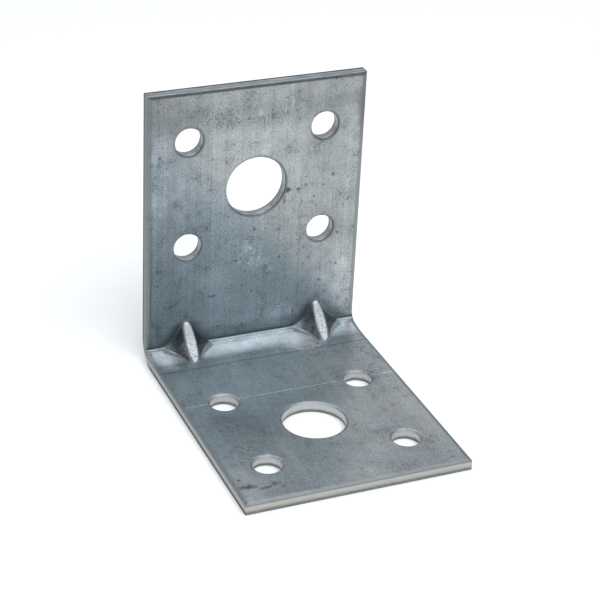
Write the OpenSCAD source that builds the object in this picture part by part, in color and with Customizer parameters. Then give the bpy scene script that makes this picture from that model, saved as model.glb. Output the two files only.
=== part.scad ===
// Corner brace bracket: one folded steel sheet with two pressed gussets.
// Frame: +Z up, width along X. The base leg lies on Z = 0 and points to -Y, the upright stands at +Y.
// The origin is the centre of the footprint, on the seating plane.

/* [Sheet] */
// Sheet thickness
sheet_t = 2; // [1.8:0.1:2.4]
// Width of both legs
width = 40; // [38:0.5:44]
// Length of the base leg, from the back face to its front edge
base_l = 51.1; // [50:0.1:56]
// Height of the upright, from the seating plane to its top edge
upright_h = 51.3; // [50:0.1:56]
// Depth of the rounding that shearing leaves on the inside edges
rollover_h = 0.22; // [0.1:0.01:0.3]
// Width of the same rounding, measured on the inside face
rollover_w = 0.85; // [0.6:0.05:1]

/* [Fold] */
// Outside radius of the fold
bend_r = 4.6; // [4:0.1:5.5]
// Radius of the crease at the foot of the upright
crease_r = 0.8; // [0.6:0.1:1.2]
// Distance from the back face to where the coined ramp runs out on the base
ramp_l = 7.4; // [6:0.1:8.5]
// Radius of the coined ramp in front of the crease
ramp_r = 21; // [18:0.5:24]

/* [Holes] */
// Diameter of the screw holes
screw_d = 5; // [4:0.1:6]
// Diameter of the bolt hole in the middle of each leg
bolt_d = 11; // [9:0.1:12]
// Distance between the screw holes across the width
screw_dx = 25; // [24:0.5:28]
// Distance between the screw holes along a leg
screw_dl = 20; // [19:0.5:21]
// Distance from the front edge of the base to the middle of its holes
base_margin = 19.65; // [18:0.05:21]
// Distance from the top edge of the upright to the middle of its holes
upright_margin = 19.15; // [18:0.05:21]
// Depth of the rounding that the punch leaves round each hole
rim_h = 0.2; // [0.1:0.01:0.3]
// Width of the same rounding
rim_w = 0.55; // [0.3:0.05:0.7]
// Widening at the outside face, where the sheet broke away ahead of the punch
break_w = 0.1; // [0.05:0.01:0.15]
// Height of the broken part of a hole's wall
break_h = 0.8; // [0.5:0.1:1]

/* [Gussets] */
// Distance between the two gussets
gusset_dx = 25; // [22:0.5:26]
// Distance of a gusset's crest from the outside corner, along the diagonal
crest_d = 6.6; // [6.2:0.1:7.2]
// Radius of the crest across its length
crest_r = 1.2; // [1:0.1:1.3]
// Radius of the crest along its length
arch_r = 19.5; // [18:0.5:30]
// Height that the die pressed flat off the crest
flat_h = 0.36; // [0.1:0.02:0.4]
// Radius of the hollow flanks
flank_r = 5.4; // [5:0.1:7]
// Half width of a gusset where its flanks reach the fold
foot_w = 4.1; // [3.6:0.1:4.4]
// Distance of that place from the outside corner, along the diagonal
foot_d = 3.6; // [3.4:0.1:3.8]
// Sheet left between the crest and the dent behind it
crest_t = 2.4; // [2.2:0.1:2.8]
// Half width of the dent behind a gusset, per millimetre of its depth
dent_slope = 0.95; // [0.8:0.05:1.1]
// Radius of the ridge at the bottom of the dent
dent_r = 0.5; // [0.3:0.05:0.7]

/* [Show] */
// Piece to show

/* [Hidden] */
$fn = 96;
// Amount by which cutters run past the sheet
over = 1;
// Drop that makes a cutting arc cross a face cleanly
bite = 0.01;
// Middle of the hole pattern of each leg, from the outside corner
base_mid = base_l - base_margin;
upright_mid = upright_h - upright_margin;
// Radius whose arc is rollover_w wide and rollover_h deep
edge_r = (rollover_w * rollover_w + rollover_h * rollover_h) / (2 * rollover_h);
rim_r = (rim_w * rim_w + rim_h * rim_h) / (2 * rim_h);
// Centre of the crease's arc, which touches the upright and the ramp
crease_y = sheet_t + crease_r;
crease_run = ramp_l - crease_y;
crease_z = sheet_t + ramp_r - sqrt(pow(ramp_r - crease_r, 2) - pow(crease_run, 2));
touch_y = ramp_l - crease_run * ramp_r / (ramp_r - crease_r);
// Slope of the ramp where it meets that arc
ramp_turn = asin(crease_run / (ramp_r - crease_r));
// Depth of the flanks' foot below the crest, before the die flattens it
foot_h = crest_d + flat_h - foot_d;
// Flank arc: through a point beside the crest and through the foot
side_w = crest_r * 0.95;
side_h = crest_r * 0.69;
chord = sqrt(pow(foot_w - side_w, 2) + pow(foot_h - side_h, 2));
reach = sqrt(pow(flank_r, 2) - pow(chord / 2, 2));
flank_x = (foot_w + side_w) / 2 + reach * (foot_h - side_h) / chord;
flank_h = (foot_h + side_h) / 2 - reach * (foot_w - side_w) / chord;
// Middle of the sheet at the fold, along the diagonal, where a gusset's body ends
core_d = (foot_d + (sqrt(2) - 1) * bend_r) / 2;
// Height of the gusset's body below the crest, before the die flattens it
body_h = crest_d + flat_h - core_d;
// Distance of the dent's bottom ridge from the outside corner, along the diagonal
dent_d = crest_d - crest_t;
// Half angle that a gusset's crest is swept through
sweep = 14;

// Section of the folded sheet, X toward the back and Y up
module section() {
    difference() {
        union() {
            translate([-base_l, 0]) square([base_l - bend_r, sheet_t]);
            translate([-sheet_t, bend_r]) square([sheet_t, upright_h - bend_r]);
            difference() {
                intersection() {
                    translate([-bend_r, 0]) square(bend_r);
                    translate([-bend_r, bend_r]) circle(bend_r);
                }
                translate([-bend_r - over, sheet_t])
                    square([bend_r + over - sheet_t, bend_r + over]);
            }
            ramp();
            crease();
        }
        // Sheared front edge of the base and top edge of the upright
        translate([-base_l, sheet_t]) edge_bite();
        translate([-sheet_t, upright_h]) mirror([1, 1]) edge_bite();
    }
}

// Coined ramp that rises from the base to the crease
module ramp() {
    difference() {
        translate([-ramp_l, sheet_t - bite])
            square([ramp_l - sheet_t / 2, crease_z - sheet_t]);
        translate([-ramp_l, sheet_t + ramp_r - bite]) circle(ramp_r);
        translate([-sheet_t, sheet_t]) square([sheet_t, ramp_r]);
    }
}

// Small fillet between the ramp and the upright
module crease() {
    difference() {
        translate([-touch_y, sheet_t])
            square([touch_y - sheet_t / 2, crease_z - sheet_t]);
        translate([-crease_y + bite, crease_z]) circle(crease_r);
    }
}

// Rounding of a sheared edge: the cut face is X = 0, the inside face is Y = 0
module edge_bite() {
    difference() {
        translate([-over, -rollover_h]) square([over + rollover_w, rollover_h + over]);
        translate([rollover_w, -edge_r + bite]) circle(edge_r);
    }
}

// Rounding along the long inside edge of each leg, at +X
module long_edges() {
    // Base, from its front edge to the ramp
    translate([0, -base_l - over, 0])
        rotate([-90, 0, 0]) mirror([0, 1, 0])
            linear_extrude(base_l + over - ramp_l)
                translate([width / 2, sheet_t]) mirror([1, 0]) edge_bite();
    // Ramp, up to the crease
    translate([0, -ramp_l, sheet_t + ramp_r])
        rotate([0, 90, 0])
            rotate_extrude(angle = ramp_turn)
                translate([ramp_r, width / 2]) mirror([0, 1]) rotate(90) edge_bite();
    // Upright, from the crease to its top edge
    translate([0, 0, crease_z])
        linear_extrude(upright_h + over - crease_z)
            translate([width / 2, -sheet_t]) mirror([1, 0]) mirror([0, 1]) edge_bite();
}

// Punched hole along Z through a sheet whose outside face is Z = 0
module punched(d) {
    translate([0, 0, -over]) cylinder(h = sheet_t + 2 * over, d = d);
    translate([0, 0, -bite]) cylinder(h = break_h + bite, d1 = d + 2 * break_w, d2 = d);
    rotate_extrude()
        difference() {
            translate([d / 2 - rim_w / 2, sheet_t - rim_h]) square([rim_w * 1.5, rim_h + over]);
            translate([d / 2 + rim_w, sheet_t - rim_r + bite]) circle(rim_r);
        }
}

// Four screw holes round a bolt hole
module pattern() {
    punched(bolt_d);
    for (x = [-1, 1], y = [-1, 1])
        translate([x * screw_dx / 2, y * screw_dl / 2, 0]) punched(screw_d);
}

// Half section of a gusset: X is the distance from its arch axis, Y the half width
module gusset_half() {
    difference() {
        union() {
            translate([arch_r - crest_r, 0]) circle(crest_r);
            translate([arch_r - body_h, 0]) square([body_h - side_h, foot_w + over]);
        }
        translate([arch_r - flank_h, flank_x]) circle(flank_r);
        translate([arch_r - foot_h, foot_w]) square([foot_h, flank_r]);
        translate([0, -flank_r]) square([arch_r + over, flank_r]);
    }
}

// Raised side of a gusset, in a frame whose Z is the diagonal out of the corner
module gusset_body() {
    intersection() {
        translate([0, 0, crest_d - arch_r + flat_h])
            rotate([0, -90, 180])
                rotate([0, 0, -sweep])
                    rotate_extrude(angle = 2 * sweep)
                        union() {
                            gusset_half();
                            mirror([0, 1]) gusset_half();
                        }
        translate([-foot_w - 2 * over, -base_l / 2, 0])
            cube([2 * foot_w + 4 * over, base_l, crest_d]);
    }
}

// The same, ended inside the sheet of both legs
module gusset(x) {
    intersection() {
        on_diagonal(x) gusset_body();
        translate([x - foot_w - 2 * over, -base_l / 2, sheet_t / 2])
            cube([2 * foot_w + 4 * over, base_l / 2 - sheet_t / 2, base_l / 2]);
    }
}

// Dent behind a gusset, in the same frame
module dent() {
    rotate([90, 0, 0])
        linear_extrude(height = 4 * dent_d, center = true)
            union() {
                polygon([
                    [-dent_slope * dent_d - dent_r, 0],
                    [dent_slope * dent_d + dent_r, 0],
                    [dent_r, dent_d],
                    [-dent_r, dent_d]
                ]);
                translate([0, dent_d - bite]) circle(dent_r);
            }
}

// Puts a gusset's frame on the diagonal of the outside corner
module on_diagonal(x) {
    translate([x, 0, 0]) rotate([45, 0, 0]) children();
}

module bracket() {
    color("silver")
        translate([0, base_l / 2, 0])
            difference() {
                union() {
                    rotate([90, 0, 90]) linear_extrude(height = width, center = true) section();
                    for (s = [-1, 1]) gusset(s * gusset_dx / 2);
                }
                for (s = [-1, 1]) on_diagonal(s * gusset_dx / 2) dent();
                long_edges();
                mirror([1, 0, 0]) long_edges();
                translate([0, -base_mid, 0]) pattern();
                translate([0, 0, upright_mid]) rotate([90, 0, 0]) pattern();
            }
}

bracket();
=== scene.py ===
# Corner brace bracket: galvanised folded sheet, photographed from its front left.
import math
from types import SimpleNamespace

import bpy
from mathutils import Matrix, Vector


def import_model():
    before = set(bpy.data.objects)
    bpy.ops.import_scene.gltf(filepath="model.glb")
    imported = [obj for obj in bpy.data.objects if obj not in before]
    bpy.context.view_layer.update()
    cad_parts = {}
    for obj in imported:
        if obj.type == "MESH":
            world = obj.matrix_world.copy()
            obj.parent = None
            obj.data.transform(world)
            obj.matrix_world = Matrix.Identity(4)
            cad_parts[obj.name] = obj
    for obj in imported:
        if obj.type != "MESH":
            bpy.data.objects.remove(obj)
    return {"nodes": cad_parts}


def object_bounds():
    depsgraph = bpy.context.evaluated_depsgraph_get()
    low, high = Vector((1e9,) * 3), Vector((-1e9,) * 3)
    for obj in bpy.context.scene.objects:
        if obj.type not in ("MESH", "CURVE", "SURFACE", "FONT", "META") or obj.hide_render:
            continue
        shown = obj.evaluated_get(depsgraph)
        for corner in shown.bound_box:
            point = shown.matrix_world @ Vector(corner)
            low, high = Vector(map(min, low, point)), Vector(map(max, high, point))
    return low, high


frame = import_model()
cad_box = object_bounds()

# Outer sizes of the bracket, in millimetres
WIDTH, BASE_L, UPRIGHT_H = (round(1000 * (high - low), 3) for low, high in zip(*cad_box))
BACK_Y = BASE_L / 2
# Sizes from the part's source, in millimetres
SHEET_T = 2.0
BASE_MARGIN, UPRIGHT_MARGIN = 19.65, 19.15
BASE_MID, UPRIGHT_MID = BASE_L - BASE_MARGIN, UPRIGHT_H - UPRIGHT_MARGIN
SCREW_DX, SCREW_DL = 25.0, 20.0
SCREW_R, BOLT_R = 2.5, 5.5
RAMP_L, RAMP_R = 7.4, 21.0
# Gussets: crest and arch, where their flanks start and end, and how far their outline bends in
GUSSET_DX = 25.0
CREST_D, CREST_R, ARCH_R, FLAT_H = 6.6, 1.2, 19.5, 0.36
SIDE_W, SIDE_H = 0.95 * CREST_R, 0.69 * CREST_R
FOOT_W, FOOT_D = 4.1, 3.6
HOLLOW = 1.9
# Fades of a gusset's outline, crest and flanks: at their ends along the ridge, sideways, and upwards
OUTLINE_END, OUTLINE_REACH, PAST_SLOPE = (3.9, 3.2), 3.6, 1.2
CREST_TOP_END, CREST_LOW_END = (3.95, 2.75), (-3.90, -3.10)
CREST_SIDE, CREST_RISE = (1.50, 0.95), (CREST_D - 0.65, CREST_D - 0.10)
FLANK_SIDE, FLANK_RISE = (4.6, 3.2), (-0.06, 0.16)
DIAGONAL = math.sqrt(0.5)
# Lines pressed and scratched across the base, as distances from the outside corner
DIE_LINE, SCRATCH_LINE = 9.3, 21.15
# Distance from a leg's side or end at which the cut face begins, and where it counts in full
CUT_BEGINS, CUT_FULL = 0.05, 0.02

# Gloss of the coat, and the rounding that plating leaves on edges and presses, in metres
GLOSS_DULL, GLOSS_BRIGHT = 0.38, 0.27
SOFT_EDGE, SOFT_PRESS = 0.0002, 0.0005
BUMP_DEPTH, BUMP_STRENGTH = 0.00004, 0.35
METALLIC = 0.9

# Colours of the zinc coat, and a painted sheen on the rubbed ramp
ZINC_BLUISH, ZINC_PLAIN = (0.356, 0.386, 0.404), (0.388, 0.400, 0.402)
UPRIGHT_COOL, UPRIGHT_WARM = (0.338, 0.384, 0.412), (0.392, 0.396, 0.386)
RUBBED_SHEEN = (0.78, 0.66, 0.62)
FLECK = (0.78, 0.84, 0.87)
# Colours of the gussets: painted shade on the flanks and round them, a painted cool reflection, scuffs and
# scrapes, and the crest with its painted tip highlight
FLANK_PAINTED_SHADE, FLANK_SHADED = (0.110, 0.118, 0.124), (0.090, 0.118, 0.130)
FLANK_SCRAPED, FLANK_SCUFFED = (0.290, 0.284, 0.294), (0.44, 0.44, 0.46)
HALO_SHADE, FOOT_SHADE = (0.105, 0.115, 0.125), (0.21, 0.230, 0.245)
CREST_DULL, CREST_UPPER, CREST_LOWER = (0.22, 0.22, 0.225), (0.43, 0.42, 0.42), (0.56, 0.545, 0.54)
CREST_TIP_HIGHLIGHT = (0.48, 0.47, 0.48)
# Colours of edges and rims: painted shade on rolled-over edges, rims, the fold and the crease, and a
# brownish line on the top edge
EDGE_SHADE_LEFT, EDGE_SHADE_RIGHT, EDGE_SHADE_TOP_RIGHT = (0.175, 0.190, 0.190), (0.225, 0.238, 0.236), (0.150, 0.158, 0.158)
RIM_SHADE = (0.060, 0.065, 0.070)
ROLLED_SIDE_SHADE, ROLLED_FRONT_SHADE = (0.195, 0.205, 0.212), (0.190, 0.202, 0.212)
TOP_LINE, TOP_ROLLED_SHADE = (0.215, 0.165, 0.148), (0.19, 0.185, 0.185)
FOLD_SHADE, CREASE_SHADE = (0.130, 0.136, 0.138), (0.20, 0.205, 0.215)
# Colours of the cut faces. A pair is what a noise or the depth runs between. The front land is lighter in
# its middle partly as a painted highlight, and its top and the inner part of the side land are painted
# shade
FRONT_LAND = (0.356, 0.340, 0.298), (0.490, 0.475, 0.440)
FRONT_LAND_TOP_SHADE = (0.185, 0.192, 0.200)
SIDE_LAND = (0.425, 0.420, 0.400), (0.235, 0.250, 0.262)
UPRIGHT_LAND = (0.14, 0.16, 0.155), (0.26, 0.275, 0.265)
BASE_BORE = (0.46, 0.455, 0.445), (0.62, 0.61, 0.60)
UPRIGHT_BORE = (0.26, 0.265, 0.27), (0.46, 0.465, 0.47)
TEAR = (0.215, 0.198, 0.170), (0.400, 0.370, 0.325)
SIDE_TEAR, BORE_TEAR = (0.085, 0.084, 0.080), (0.42, 0.40, 0.38)
TOP_COAT = (0.22, 0.236, 0.238), (0.42, 0.436, 0.440)
TOP_OUTER, TOP_INNER, TOP_GROOVE = (0.070, 0.072, 0.078), (0.18, 0.18, 0.185), (0.13, 0.14, 0.15)

# Colours of handling marks: dark, pale, rusty and a pale run; and of painted light on the ramp: a painted
# reflection of the right gusset, painted highlights at its left end and along its crease, and a dimmer
# painted patch
SMUDGE, SCUFF = (0.10, 0.11, 0.12), (0.62, 0.64, 0.65)
RUST, RUN = (0.065, 0.050, 0.036), (0.50, 0.49, 0.43)
GUSSET_REFLECTION, RAMP_HIGHLIGHT = (1.0, 0.95, 0.94), (0.95, 0.92, 0.93)
CREASE_HIGHLIGHT, RAMP_HIGHLIGHT_DIM = (1.0, 0.97, 0.98), (0.62, 0.62, 0.63)
# How far a noise moves the outline of a mark, as a share of its half sizes
RAGGED = 1.6
# Marks: place (x, distance from the outside corner), half sizes, softness, amount, colour
UPRIGHT_MARKS = (
    ((6.3, 47.2), (0.35, 2.0), 0.8, 0.55, RUN),
    ((-1.6, 20.6), (0.8, 2.0), 0.9, 0.60, SCUFF),
    ((1.2, 17.2), (2.6, 1.3), 0.9, 0.42, SCUFF),
    ((3.2, 15.6), (1.0, 0.8), 0.9, 0.52, SCUFF),
    ((0.3, 46.0), (0.7, 1.0), 0.9, 0.35, SCUFF),
    ((-7.8, 11.7), (1.4, 0.35), 0.7, 0.70, SMUDGE),
    ((-12.4, 28.2), (1.6, 1.0), 0.9, 0.35, SMUDGE),
    ((14.5, 20.5), (1.2, 0.8), 0.9, 0.40, SMUDGE),
    ((9.0, 25.0), (2.4, 0.7), 0.9, 0.35, SMUDGE),
    ((10.8, 27.6), (2.0, 0.5), 0.9, 0.35, SMUDGE),
    ((19.3, 45.5), (0.9, 5.5), 0.5, 0.45, SMUDGE),
    # Painted shade on the left side of the upright
    ((-17.0, 27.0), (3.0, 4.0), 1.0, 0.22, SMUDGE),
    ((5.90, 30.6), (0.85, 0.70), 0.6, 0.90, RUST),
    ((5.35, 28.9), (0.55, 1.4), 0.8, 0.55, RUST),
)
BASE_MARKS = (
    # Painted light on the ramp: a reflection of the right gusset, highlights at its left end and crease,
    # and a dimmer patch
    ((7.8, 6.9), (4.6, 3.6), 0.9, 0.96, GUSSET_REFLECTION),
    ((-17.1, 6.1), (2.3, 3.1), 1.0, 0.88, RAMP_HIGHLIGHT),
    ((-17.4, 3.2), (2.3, 0.8), 0.8, 0.95, CREASE_HIGHLIGHT),
    ((-16.5, 8.0), (2.6, 1.6), 1.0, 0.40, RAMP_HIGHLIGHT_DIM),
    ((-9.0, 30.0), (17.0, 14.0), 1.0, 0.28, SMUDGE),
    ((-17.8, 46.6), (2.4, 0.8), 0.8, 0.90, SMUDGE),
    ((-15.0, 47.6), (1.6, 0.5), 0.8, 0.85, SMUDGE),
    ((-13.2, 45.8), (1.2, 0.10), 0.8, 0.60, SCUFF),
    ((-13.6, 47.0), (0.9, 0.8), 0.8, 0.80, SMUDGE),
    ((-18.7, 44.4), (0.6, 0.5), 0.8, 0.80, SMUDGE),
    ((-16.5, 20.0), (0.22, 0.22), 0.6, 0.80, SCUFF),
    ((9.5, 38.5), (3.6, 1.6), 1.0, 0.22, SMUDGE),
    ((-14.5, 27.5), (7.0, 5.5), 1.0, 0.26, SMUDGE),
    ((1.5, 39.5), (3.5, 2.2), 1.0, 0.20, SMUDGE),
)
# Pale flecks under the bolt hole of the upright, as a mark whose colour a noise breaks up
FLECKS_AT, FLECKS_HALF, FLECKS_SOFT, FLECKS_AMOUNT = (-0.9, 18.8), (3.2, 4.4), 0.8, 0.85


class Nodes:
    """Short calls for building a node tree."""

    def __init__(self, tree):
        self.tree = tree

    def add(self, kind, **props):
        node = self.tree.nodes.new(kind)
        for key, value in props.items():
            setattr(node, key, value)
        return node

    def join(self, value, socket):
        """Links another socket, or sets a number or a colour."""
        if isinstance(value, bpy.types.NodeSocket):
            self.tree.links.new(value, socket)
        elif isinstance(value, tuple):
            socket.default_value = (*value, 1.0)
        else:
            socket.default_value = value

    def math(self, op, a, b=0.0, clamp=False):
        node = self.add("ShaderNodeMath", operation=op, use_clamp=clamp)
        self.join(a, node.inputs[0])
        self.join(b, node.inputs[1])
        return node.outputs[0]

    def plus(self, a, b):
        return self.math("ADD", a, b)

    def minus(self, a, b):
        return self.math("SUBTRACT", a, b)

    def over(self, a, b):
        return self.math("DIVIDE", a, b)

    def most(self, a, b):
        return self.math("MAXIMUM", a, b)

    def least(self, a, b):
        return self.math("MINIMUM", a, b)

    def absolute(self, value):
        return self.math("ABSOLUTE", value)

    def times(self, first, *others):
        """Product of numbers, or the place where every mask is 1."""
        for value in others:
            first = self.math("MULTIPLY", first, value)
        return first

    def rest(self, mask):
        """The place that a mask leaves out."""
        return self.minus(1.0, mask)

    def swing(self, field, gain):
        """How far a noise is from its middle, times gain."""
        return self.times(self.minus(field, 0.5), gain)

    def step(self, value, low, high):
        """0 below low, 1 above high, smooth between. low may be above high."""
        node = self.add("ShaderNodeMapRange", interpolation_type="SMOOTHSTEP")
        self.join(value, node.inputs["Value"])
        node.inputs["From Min"].default_value = min(low, high)
        node.inputs["From Max"].default_value = max(low, high)
        node.inputs["To Min"].default_value = 0.0 if low < high else 1.0
        node.inputs["To Max"].default_value = 1.0 if low < high else 0.0
        return node.outputs["Result"]

    def band(self, value, middle, half, soft):
        """1 within half of middle, falling to 0 over soft."""
        return self.step(self.absolute(self.minus(value, middle)), half + soft, half)

    def mix(self, amount, a, b):
        """Colour a where amount is 0 and colour b where it is 1."""
        node = self.add("ShaderNodeMix", data_type="RGBA")
        self.join(amount, node.inputs[0])
        self.join(a, node.inputs[6])
        self.join(b, node.inputs[7])
        return node.outputs[2]

    def blend(self, amount, a, b):
        """Number a where amount is 0 and number b where it is 1."""
        node = self.add("ShaderNodeMix", data_type="FLOAT")
        self.join(amount, node.inputs[0])
        self.join(a, node.inputs[2])
        self.join(b, node.inputs[3])
        return node.outputs[0]

    def paint(self, tone, where, amount, colour):
        """Lays a share of another colour over the tone."""
        return self.mix(self.times(where, amount), tone, colour)

    def scale(self, light, where, factor):
        """Multiplies the light by factor where the mask is 1."""
        return self.times(light, self.blend(where, 1.0, factor))

    def noise(self, where, scale, detail=2.0, rough=0.5):
        """A noise of that many waves per millimetre."""
        node = self.add("ShaderNodeTexNoise", noise_dimensions="3D")
        self.join(where, node.inputs["Vector"])
        node.inputs["Scale"].default_value = scale
        node.inputs["Detail"].default_value = detail
        node.inputs["Roughness"].default_value = rough
        return node.outputs["Fac"]

    def stretch(self, where, x, y, z):
        node = self.add("ShaderNodeVectorMath", operation="MULTIPLY")
        self.join(where, node.inputs[0])
        node.inputs[1].default_value = (x, y, z)
        return node.outputs[0]

    def length(self, a, b):
        """Length of the line whose parts are a and b."""
        return self.math("SQRT", self.plus(self.times(a, a), self.times(b, b)))

    def spot(self, at, leg, middle, half, ragged, soft):
        """A mark of the given half sizes on one leg, with an outline that a noise makes ragged."""
        dx = self.over(self.minus(at.x, middle[0]), half[0])
        dl = self.over(self.minus(at.along, middle[1]), half[1])
        away = self.plus(self.length(dx, dl), self.swing(ragged, RAGGED))
        return self.times(self.step(away, 1.0, 1.0 - soft), leg)


# What the group of places puts out, in millimetres: Along from the outside corner, Depth from the outside
# face, Hole from the nearest rim, and End from the leg's end. Turn says which side of a hole, and Across,
# Ridge and Beside where on a gusset. Upright, Crest and Flank are masks. A step or a band on a place takes
# millimetres, and one on a noise takes values of the noise.
PLACES = (
    "Place", "X", "Along", "Depth", "Hole", "Turn", "End", "Upright",
    "Across", "Ridge", "Beside", "Crest", "Flank")


def hole_fields(n, x, run):
    """Distance from the nearest hole's rim, and which side of it: 1 toward +X and the fold, -1 opposite."""
    dx = n.minus(n.absolute(x), SCREW_DX / 2)
    dl = n.minus(n.absolute(run), SCREW_DL / 2)
    screw = n.length(dx, dl)
    bolt = n.length(x, run)
    from_screw, from_bolt = n.minus(screw, SCREW_R), n.minus(bolt, BOLT_R)
    # Near a hole's centre the distance is held, so that nothing is divided by zero
    smallest = 0.1
    screw_turn = n.minus(n.times(dx, n.math("SIGN", x)), n.times(dl, n.math("SIGN", run)))
    screw_turn = n.over(screw_turn, n.most(screw, smallest))
    bolt_turn = n.over(n.minus(x, run), n.most(bolt, smallest))
    nearer = n.math("GREATER_THAN", from_screw, from_bolt)
    turn = n.times(n.blend(nearer, screw_turn, bolt_turn), DIAGONAL)
    return n.least(from_screw, from_bolt), turn


def gusset_fields(n, x, z, back, along, depth, upright):
    """Distance across a gusset, along it and beyond its outline, and the masks of its crest and flanks."""
    across = n.minus(n.absolute(x), GUSSET_DX / 2)
    beside_crest = n.absolute(across)
    ridge = n.times(n.minus(z, back), DIAGONAL)
    out_d = n.times(n.plus(z, back), DIAGONAL)
    # Outline where the flanks meet the sheet: wide at the fold and as narrow as the crest at its ends
    up_ridge = n.absolute(ridge)
    rise = CREST_D + FLAT_H - SIDE_H - SHEET_T * math.sqrt(2)
    drop = CREST_D + FLAT_H - SIDE_H - FOOT_D
    low = n.minus(n.minus(rise, up_ridge), n.over(n.times(ridge, ridge), 2 * ARCH_R))
    low = n.math("DIVIDE", low, drop, clamp=True)
    outline = n.minus(n.times(low, FOOT_W - SIDE_W), n.times(low, HOLLOW, n.rest(low)))
    outline = n.times(n.plus(outline, SIDE_W), n.step(up_ridge, *OUTLINE_END))
    # Past the ends of the outline the distance grows with the way along the ridge
    past_end = n.times(n.most(n.minus(up_ridge, OUTLINE_REACH), 0.0), PAST_SLOPE)
    beside = n.plus(n.minus(beside_crest, outline), past_end)
    # Crest, pressed flat, and the flanks that stand proud of the sheet and its coined ramp
    crest = n.times(n.step(ridge, *CREST_TOP_END), n.step(ridge, *CREST_LOW_END))
    crest = n.times(n.step(out_d, *CREST_RISE), crest, n.step(beside_crest, *CREST_SIDE))
    fall = n.most(n.minus(RAMP_L, along), 0.0)
    ramp = n.times(fall, fall, n.rest(upright), 0.5 / RAMP_R)
    proud = n.minus(n.minus(depth, SHEET_T), ramp)
    flank = n.times(n.step(proud, *FLANK_RISE), n.step(beside_crest, *FLANK_SIDE), n.rest(crest))
    return across, ridge, beside, crest, flank


def sheet_group():
    """Where a point lies on the folded sheet, and how far it belongs to a gusset's crest or flanks."""
    group = bpy.data.node_groups.new("SheetPlace", "ShaderNodeTree")
    face = group.interface
    face.new_socket("Place", in_out="OUTPUT", socket_type="NodeSocketVector")
    for name in PLACES[1:]:
        face.new_socket(name, in_out="OUTPUT", socket_type="NodeSocketFloat")
    n = Nodes(group)
    out = n.add("NodeGroupOutput")
    place = n.stretch(n.add("ShaderNodeTexCoord").outputs["Object"], 1000.0, 1000.0, 1000.0)
    split = n.add("ShaderNodeSeparateXYZ")
    n.join(place, split.inputs[0])
    x, y, z = split.outputs
    back = n.minus(BACK_Y, y)
    along = n.most(back, z)
    depth = n.least(back, z)
    upright = n.math("GREATER_THAN", z, back)
    run = n.minus(along, n.blend(upright, BASE_MID, UPRIGHT_MID))
    hole, turn = hole_fields(n, x, run)
    end = n.minus(n.blend(upright, BASE_L, UPRIGHT_H), along)
    gusset = gusset_fields(n, x, z, back, along, depth, upright)
    for name, value in zip(PLACES, (place, x, along, depth, hole, turn, end, upright, *gusset)):
        n.join(value, out.inputs[name])
    return group


def speck_field(n, at, patch, grainy):
    """Fine dark specks, which gather into ragged smudges where the coat is thin."""
    row = n.times(n.band(at.along, 46.6, 1.0, 2.4), at.upright, n.step(at.x, 14.0, 4.0))
    drawn = n.step(n.noise(n.stretch(at.place, 0.10, 0.5, 0.5), 1.0, 4.0, 0.6), 0.40, 0.62)
    thin = n.times(n.step(patch, 0.50, 0.33), n.blend(row, 1.0, 0.4))
    thin = n.plus(thin, n.times(row, drawn, 0.85))
    speck = n.minus(n.noise(at.place, 3.3, 1.0, 0.6), n.times(thin, 0.15))
    return n.times(n.step(speck, 0.36, 0.27), grainy)


def pit_field(n, at):
    """Separate dark pits of different sizes, with ragged outlines."""
    cells = n.add("ShaderNodeTexVoronoi", feature="F1")
    n.join(at.place, cells.inputs["Vector"])
    cells.inputs["Scale"].default_value = 0.62
    edge = n.plus(cells.outputs["Distance"], n.swing(n.noise(at.place, 1.6, 3.0, 0.7), 0.75))
    split = n.add("ShaderNodeSeparateColor")
    n.join(cells.outputs["Color"], split.inputs[0])
    chance = split.outputs[0]
    radius = n.times(n.step(chance, 0.70, 1.0), 0.15)
    pit = n.step(n.minus(edge, radius), 0.09, -0.01)
    return n.times(pit, n.step(chance, 0.66, 0.74), n.blend(at.upright, 0.6, 1.0))


def line_fields(n, at, base_face):
    """Line that the bending die left across the base, and a faint scratch beside it."""
    wander = n.swing(n.noise(n.stretch(at.place, 0.12, 0.0, 0.0), 1.0, 2.0), 0.35)
    line_at = n.plus(at.along, wander)
    die = n.times(n.band(line_at, DIE_LINE, 0.10, 0.28), base_face)
    clear = n.step(n.noise(n.stretch(at.place, 0.45, 0.0, 0.0), 1.0, 3.0), 0.36, 0.56)
    scratch = n.times(n.band(line_at, SCRATCH_LINE, 0.04, 0.14), base_face, n.blend(clear, 0.35, 1.0))
    return die, scratch


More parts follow.
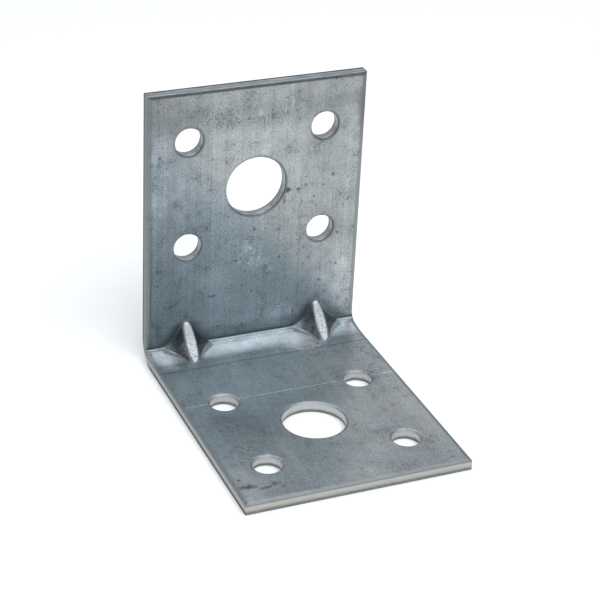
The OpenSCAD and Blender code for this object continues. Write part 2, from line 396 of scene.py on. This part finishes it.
def zinc_coat(n, at):
    """Colour of the zinc coat with its painted highlights and shade, and the fields that the gloss and the
    relief use too.
    """
    # Rubbed and marked places, with the painted sheen and painted highlights among them, are on the inside
    # faces only
    inside = n.step(at.depth, 0.6, 1.4)
    base_face = n.times(n.rest(at.upright), inside)
    upright_face = n.times(at.upright, inside)
    diagonal = n.plus(at.along, at.x)

    # Light and dark: clouds, patches, rolling streaks, and grain, which is weaker at the left of the base
    cloud = n.noise(at.place, 0.075, 4.0, 0.55)
    patch = n.noise(at.place, 0.30, 7.0, 0.66)
    grain = n.noise(at.place, 3.1, 2.0, 0.80)
    rolled = n.noise(n.stretch(at.place, 2.3, 0.03, 0.03), 1.0, 1.0, 0.5)
    grainy = n.blend(at.upright, n.blend(n.step(at.x, -6.0, 10.0), 0.75, 1.0), 1.0)
    patchy = n.blend(n.times(at.upright, n.step(diagonal, 10.0, 30.0)), 0.84, 0.62)
    streaky = n.blend(at.upright, 0.20, 0.40)
    light = 1.0
    for field, gain in ((cloud, 0.50), (patch, patchy), (grain, n.times(grainy, 1.45)), (rolled, streaky)):
        light = n.plus(light, n.swing(field, gain))

    # The top of the upright is darker, most of all in a band under its edge
    light = n.scale(light, n.times(n.step(at.along, 43.0, 48.5), at.upright), 0.84)
    light = n.scale(light, n.times(n.band(at.along, 45.7, 1.0, 2.2), at.upright), 0.86)
    # The coined ramp is rubbed clean of specks
    rub_and_sheen = n.times(n.band(at.along, 3.6, 1.0, 3.1), base_face, n.blend(n.step(at.x, 13.0, 19.0), 1.0, 0.55))
    speck = n.scale(speck_field(n, at, patch, grainy), rub_and_sheen, 0.25)
    light = n.scale(light, speck, 0.58)
    pit = pit_field(n, at)
    light = n.scale(light, pit, 0.48)
    die, scratch = line_fields(n, at, base_face)
    light = n.scale(light, die, 0.68)
    light = n.plus(light, n.times(scratch, 0.85))

    # Painted highlight: the rubbed ramp is lightened, and the lower right of the upright is lighter too
    light = n.scale(light, rub_and_sheen, 1.95)
    lower_right = n.times(n.step(at.x, 11.0, 17.0), n.band(at.along, 13.0, 3.0, 5.0), at.upright)
    light = n.scale(light, lower_right, 1.22)
    # Painted shade darkens the left edge of the upright and its foot above the crease; the front of the
    # base is darker too, but for its left
    left_edge_shade = n.times(n.step(at.x, -11.0, -19.0), at.upright)
    light = n.scale(light, left_edge_shade, n.blend(n.step(at.along, 6.0, 14.0), 0.70, 0.87))
    front = n.times(n.step(at.along, 30.0, 40.0), n.step(at.x, -14.0, -4.0), base_face)
    light = n.scale(light, front, 0.93)
    light = n.scale(light, n.times(n.band(at.along, 3.9, 0.7, 1.5), at.upright), 0.78)

    # The lower left of the upright is cooler than the rest
    warm = n.step(diagonal, 18.0, 34.0)
    tint = n.mix(n.step(cloud, 0.36, 0.62), ZINC_BLUISH, ZINC_PLAIN)
    tint = n.mix(n.times(at.upright, n.blend(warm, 0.8, 0.0)), tint, UPRIGHT_COOL)
    tint = n.mix(n.times(at.upright, n.blend(warm, 0.0, 0.85)), tint, UPRIGHT_WARM)
    lit = n.add("ShaderNodeVectorMath", operation="SCALE")
    n.join(tint, lit.inputs[0])
    n.join(light, lit.inputs["Scale"])
    # Painted sheen on the rubbed ramp
    tone = n.paint(lit.outputs[0], rub_and_sheen, 0.42, RUBBED_SHEEN)

    # Marks from handling: dark smudges, pale scuffs and a little rust, each on its own place, with painted
    # highlights, a painted reflection and a painted shade among them
    blot = n.noise(at.place, 0.9, 4.0, 0.65)
    for leg, marks in ((upright_face, UPRIGHT_MARKS), (base_face, BASE_MARKS)):
        for middle, half, soft, amount, colour in marks:
            tone = n.paint(tone, n.spot(at, leg, middle, half, blot, soft), amount, colour)
    flecks = n.spot(at, upright_face, FLECKS_AT, FLECKS_HALF, blot, FLECKS_SOFT)
    flecks = n.times(flecks, n.step(n.noise(at.place, 1.5, 4.0, 0.75), 0.51, 0.62))
    tone = n.paint(tone, flecks, FLECKS_AMOUNT, FLECK)
    return SimpleNamespace(tone=tone, patch=patch, grain=grain, rolled=rolled, pit=pit, die=die)


def paint_gussets(n, at, tone):
    """Flanks painted dark as shade, a painted halo of shade round them, and a rubbed crest painted bright
    as a highlight. Returns the mask of the foot too.
    """
    beside_crest = n.absolute(at.across)
    # Flanks: painted shade, a painted cool reflection on the left gusset's inner side, and scraped on the
    # right one's
    scuff = n.times(n.step(n.noise(at.place, 2.4, 3.0, 0.7), 0.53, 0.66), n.step(at.ridge, 1.5, 0.0))
    lower = n.times(n.step(at.beside, -1.6, -0.2), n.step(at.ridge, 1.4, 0.0))
    scraped = n.times(n.step(at.x, 2.0, 12.0), n.plus(1.0, lower), n.step(at.across, 0.5, -1.0))
    scraped = n.times(scraped, n.step(n.noise(at.place, 0.8, 3.0, 0.6), 0.25, 0.70))
    shaded = n.times(n.step(at.across, 0.0, -0.8), n.step(at.x, 0.0, -8.0))
    dark = n.mix(shaded, FLANK_PAINTED_SHADE, FLANK_SHADED)
    dark = n.mix(scraped, dark, FLANK_SCRAPED)
    dark = n.mix(scuff, dark, FLANK_SCUFFED)
    # Painted shade as a halo on the sheet round them, wider and stronger on the upright, and painted shade
    # at their foot on the ramp
    halo_shade = n.step(n.over(at.beside, n.blend(at.upright, 0.9, 2.6)), 1.0, 0.0)
    halo_shade = n.times(halo_shade, n.blend(at.upright, 0.45, 0.85))
    halo_shade = n.scale(halo_shade, n.step(at.x, 12.0, 14.5), 0.45)
    tone = n.mix(halo_shade, tone, HALO_SHADE)
    foot = n.times(n.band(at.beside, -0.05, 0.30, 0.60), n.step(at.along, 7.6, 6.6), n.rest(at.upright))
    tone = n.paint(tone, foot, 0.55, FOOT_SHADE)
    tone = n.paint(tone, at.flank, 0.88, dark)
    # Crest: rubbed, and painted bright as a highlight, brighter toward the base, with a painted highlight
    # at its tip on the upright
    rubbed = n.step(n.noise(at.place, 3.4, 4.0, 0.75), 0.38, 0.58)
    bright = n.mix(n.step(at.ridge, 1.8, -1.0), CREST_UPPER, CREST_LOWER)
    tone = n.mix(at.crest, tone, n.mix(rubbed, CREST_DULL, bright))
    tip_highlight = n.times(n.step(beside_crest, 0.80, 0.25), n.band(at.along, 7.45, 0.25, 0.50), at.upright)
    tone = n.paint(tone, tip_highlight, 0.55, CREST_TIP_HIGHLIGHT)
    return tone, foot


def paint_edges(n, at, tone, side, rim):
    """Painted shade on rolled-over edges, punched rims, the fold and the crease, which are darker than the
    faces.
    """
    # Upright: painted shade on the side edges and rims, and a painted dark line of shade at the lower right
    # of each rim
    edge_shade = n.mix(n.step(at.along, 34.0, 44.0), EDGE_SHADE_RIGHT, EDGE_SHADE_TOP_RIGHT)
    edge_shade = n.mix(n.step(at.x, -1.0, 1.0), EDGE_SHADE_LEFT, edge_shade)
    shaded_edges = n.most(n.step(side, 1.05, 0.60), n.times(rim, n.step(at.turn, -0.9, 0.2)))
    tone = n.paint(tone, n.times(shaded_edges, at.upright), 0.80, edge_shade)
    rim_line_shade = n.times(n.step(at.hole, 0.24, 0.06), n.step(at.turn, 0.15, 0.75))
    rim_line_shade = n.times(rim_line_shade, n.step(at.depth, 1.62, 1.78))
    tone = n.paint(tone, n.times(rim_line_shade, at.upright), 0.75, RIM_SHADE)
    # Base: painted shade on the side edges and rims, and on the front edge
    base = n.rest(at.upright)
    rolled_over = n.most(n.step(side, 0.95, 0.40), n.times(rim, 0.5))
    tone = n.paint(tone, n.times(rolled_over, base), 0.75, ROLLED_SIDE_SHADE)
    tone = n.paint(tone, n.times(n.step(at.end, 0.95, 0.15), base), 0.94, ROLLED_FRONT_SHADE)
    # Top edge of the upright: a brownish line, and painted shade on the strip above it
    tone = n.paint(tone, n.times(n.band(at.end, 0.46, 0.10, 0.14), at.upright), 0.7, TOP_LINE)
    tone = n.paint(tone, n.times(n.step(at.end, 0.36, 0.22), at.upright), 0.5, TOP_ROLLED_SHADE)
    # Painted shade: a dark line at the foot of the upright between the gussets' flanks, and on the crease
    # on the ramp's side
    fold_shade = n.times(n.step(at.along, 3.6, 2.95), n.step(at.along, 2.60, 2.80), at.upright)
    tone = n.mix(n.times(fold_shade, n.rest(at.flank)), tone, FOLD_SHADE)
    crease_shade = n.times(n.step(at.along, 3.7, 3.2), n.step(at.depth, 2.05, 2.20), base)
    return n.paint(tone, crease_shade, 0.30, CREASE_SHADE)


def top_edge(n, at, streak):
    """The upright's top edge is zinc coated and streaked, dark at its outer and inner edges."""
    coat = n.mix(n.step(streak, 0.36, 0.60), *TOP_COAT)
    coat = n.mix(n.step(at.depth, 0.62, 0.28), coat, TOP_OUTER)
    coat = n.paint(coat, n.step(at.depth, 1.35, 1.75), 0.45, TOP_INNER)
    return n.paint(coat, n.band(at.depth, 1.36, 0.04, 0.14), 0.7, TOP_GROOVE)


def paint_cuts(n, at, tone, side, patch):
    """Cut faces have a smooth land under the inside face and a torn band toward the outside."""
    end_face = n.step(at.end, CUT_BEGINS, CUT_FULL)
    top = n.times(at.upright, end_face)
    # Walls of the holes, from the outside face up to the rounded rim
    wall = n.times(n.step(at.hole, 0.16, 0.12), n.band(at.depth, 0.91, 0.90, 0.05))
    cut = n.most(n.most(n.step(side, CUT_BEGINS, CUT_FULL), end_face), wall)
    streak = n.noise(n.stretch(at.place, 0.35, 2.5, 2.5), 1.0, 4.0, 0.6)

    # Front land: lighter toward the inside face, partly as a painted highlight
    land = n.mix(n.step(n.plus(at.depth, n.swing(streak, 0.8)), 0.35, 1.15), *FRONT_LAND)
    # Painted shade at the top of the front land, under the rounded edge
    land = n.mix(n.step(at.depth, 1.38, 1.76), land, FRONT_LAND_TOP_SHADE)
    # Side land: painted shade toward the inside face
    land = n.mix(end_face, n.mix(n.step(at.depth, 1.15, 1.50), *SIDE_LAND), land)
    land = n.mix(at.upright, land, n.mix(patch, *UPRIGHT_LAND))
    bore = n.mix(n.step(streak, 0.36, 0.62), *UPRIGHT_BORE)
    bore = n.mix(at.upright, n.mix(streak, *BASE_BORE), bore)
    land = n.mix(wall, land, bore)
    land = n.mix(top, land, top_edge(n, at, streak))

    tear = n.mix(n.noise(at.place, 3.0, 3.0), *TEAR)
    tear = n.mix(end_face, n.mix(n.step(at.depth, 0.55, 0.20), tear, SIDE_TEAR), tear)
    tear = n.paint(tear, wall, 0.55, BORE_TEAR)
    ragged = n.plus(at.depth, n.swing(n.noise(at.place, 1.3, 4.0), 0.5))
    torn = n.step(n.plus(ragged, n.times(end_face, 0.13)), 0.85, 0.45)
    tone = n.mix(cut, tone, n.mix(n.times(torn, n.rest(top)), land, tear))
    return tone, cut, torn


def gloss_field(n, at, coat, foot, rim, cut, torn):
    """Roughness of the surface."""
    gloss = n.blend(n.step(coat.patch, 0.35, 0.65), GLOSS_DULL, GLOSS_BRIGHT)
    gloss = n.plus(gloss, n.swing(coat.grain, 0.15))
    for where in (at.crest, foot, n.times(rim, 0.8)):
        gloss = n.blend(where, gloss, 0.55)
    return n.blend(cut, gloss, n.blend(torn, 0.45, 0.75))


def relief_normal(n, at, coat, foot):
    """Fine relief of the coat, over edges that are soft in the shading only."""
    relief = n.plus(n.times(coat.grain, 0.5), n.times(coat.rolled, 0.35))
    relief = n.plus(relief, coat.patch)
    relief = n.minus(relief, n.times(coat.pit, 0.5))
    relief = n.minus(relief, n.times(coat.die, 0.8))
    # Pressed metal round the gussets is softer than a sheared edge, but not at their foot on the ramp
    press = n.times(n.step(n.absolute(at.across), 6.5, 5.0), n.step(at.along, 9.0, 7.5), n.rest(foot))
    soft = n.add("ShaderNodeBevel", samples=8)
    n.join(n.scale(n.blend(press, SOFT_EDGE, SOFT_PRESS), foot, 0.3), soft.inputs["Radius"])
    bump = n.add("ShaderNodeBump")
    bump.inputs["Strength"].default_value = BUMP_STRENGTH
    bump.inputs["Distance"].default_value = BUMP_DEPTH
    n.join(relief, bump.inputs["Height"])
    n.join(soft.outputs[0], bump.inputs["Normal"])
    return bump.outputs[0]


def zinc_material():
    mat = bpy.data.materials.new("zinc_sheet")
    mat.use_nodes = True
    n = Nodes(mat.node_tree)
    bsdf = mat.node_tree.nodes["Principled BSDF"]
    group = n.add("ShaderNodeGroup")
    group.node_tree = sheet_group()
    at = SimpleNamespace(**{name.lower(): group.outputs[name] for name in PLACES})
    side = n.minus(WIDTH / 2, n.absolute(at.x))
    rim = n.step(at.hole, 0.60, 0.15)
    coat = zinc_coat(n, at)
    tone, foot = paint_gussets(n, at, coat.tone)
    tone = paint_edges(n, at, tone, side, rim)
    tone, cut, torn = paint_cuts(n, at, tone, side, coat.patch)
    n.join(tone, bsdf.inputs["Base Color"])
    n.join(gloss_field(n, at, coat, foot, rim, cut, torn), bsdf.inputs["Roughness"])
    n.join(relief_normal(n, at, coat, foot), bsdf.inputs["Normal"])
    bsdf.inputs["Metallic"].default_value = METALLIC
    return mat


def dress():
    mat = zinc_material()
    for node in frame["nodes"].values():
        node.data.materials.clear()
        node.data.materials.append(mat)


# Camera, worked out from the photograph's outlines. Distances are in millimetres
AZIMUTH, ELEVATION, ROLL = math.radians(-23.91), math.radians(28.84), math.radians(2.81)
DISTANCE = 325.0
FOCAL_PX, FRAME_PX = 1919.1, 600.0
SENSOR = 36.0
SHIFT_RIGHT, SHIFT_UP = 1.206, -0.810
AIM = Vector((0.0, BACK_Y - 20.0, 20.0))


def camera():
    data = bpy.data.cameras.new("camera")
    data.sensor_width = SENSOR
    data.sensor_fit = "HORIZONTAL"
    data.lens = FOCAL_PX / FRAME_PX * SENSOR
    data.clip_start, data.clip_end = 0.01, 20.0
    cam = bpy.data.objects.new("camera", data)
    bpy.context.scene.collection.objects.link(cam)
    level, rise = math.cos(ELEVATION), math.sin(ELEVATION)
    back = Vector((math.sin(AZIMUTH) * level, -math.cos(AZIMUTH) * level, rise))
    right = Vector((math.cos(AZIMUTH), math.sin(AZIMUTH), 0.0))
    up = back.cross(right)
    turn, tilt = math.cos(ROLL), math.sin(ROLL)
    right, up = right * turn + up * tilt, up * turn - right * tilt
    at = (AIM + back * DISTANCE + right * SHIFT_RIGHT + up * SHIFT_UP) / 1000
    cam.matrix_world = Matrix((
        (right.x, up.x, back.x, at.x), (right.y, up.y, back.y, at.y),
        (right.z, up.z, back.z, at.z), (0, 0, 0, 1)))
    bpy.context.scene.camera = cam


# White paper that the bracket stands on, in metres
FLOOR_HALF = 3.0
PAPER = (0.975, 0.95, 0.945, 1.0)


def floor():
    mesh = bpy.data.meshes.new("floor")
    h = FLOOR_HALF
    mesh.from_pydata([(-h, -h, 0), (h, -h, 0), (h, h, 0), (-h, h, 0)], [], [(0, 1, 2, 3)])
    obj = bpy.data.objects.new("floor", mesh)
    bpy.context.scene.collection.objects.link(obj)
    mat = bpy.data.materials.new("floor_paper")
    mat.use_nodes = True
    bsdf = mat.node_tree.nodes["Principled BSDF"]
    bsdf.inputs["Base Color"].default_value = PAPER
    bsdf.inputs["Roughness"].default_value = 0.9
    bsdf.inputs["Specular IOR Level"].default_value = 0.1
    mesh.materials.append(mat)


# Room round the bracket
FLOOR_LINE, LAMP_SIDE = (0.12, 0.21, 0.26), (0.55, 0.82, 0.98)
BACK_WALL, SIDE_WALL, CEILING = (0.66, 0.70, 0.74), (0.20, 0.22, 0.235), (0.60, 0.61, 0.62)


def world():
    room = bpy.data.worlds.new("studio")
    bpy.context.scene.world = room
    room.use_nodes = True
    n = Nodes(room.node_tree)
    split = n.add("ShaderNodeSeparateXYZ")
    n.join(n.add("ShaderNodeTexCoord").outputs["Generated"], split.inputs[0])
    x, y, z = split.outputs
    # By direction: dim sides and floor line, lighter toward the lamps in front, and a neutral back wall
    front = n.mix(n.step(z, 0.30, 0.75), FLOOR_LINE, LAMP_SIDE)
    walls = n.mix(n.step(y, -0.20, 0.40), front, BACK_WALL)
    walls = n.mix(n.step(n.absolute(x), 0.50, 0.85), walls, SIDE_WALL)
    glow = room.node_tree.nodes["Background"]
    n.join(n.mix(n.step(z, 0.74, 0.92), walls, CEILING), glow.inputs["Color"])
    glow.inputs["Strength"].default_value = 1.0


def softbox(name, at, size, power, tint):
    """Rectangular lamp, size in metres and power in watts, aimed at the bracket."""
    data = bpy.data.lights.new(name, "AREA")
    data.shape = "RECTANGLE"
    data.size, data.size_y = size
    data.energy = power
    data.color = tint
    obj = bpy.data.objects.new(name, data)
    bpy.context.scene.collection.objects.link(obj)
    obj.location = at
    aim = Vector((0, 0, 0.02))
    obj.rotation_euler = (Vector(at) - aim).to_track_quat("Z", "Y").to_euler()


dress()
camera()
floor()
world()
softbox("front", at=(0.085, -0.316, 0.503), size=(0.50, 0.26), power=1.8, tint=(0.90, 1.0, 1.06))
softbox("overhead", at=(-0.05, 0.06, 0.62), size=(0.90, 0.66), power=2.0, tint=(1.02, 1.0, 0.98))

view = bpy.context.scene.view_settings
view.view_transform = "Standard"
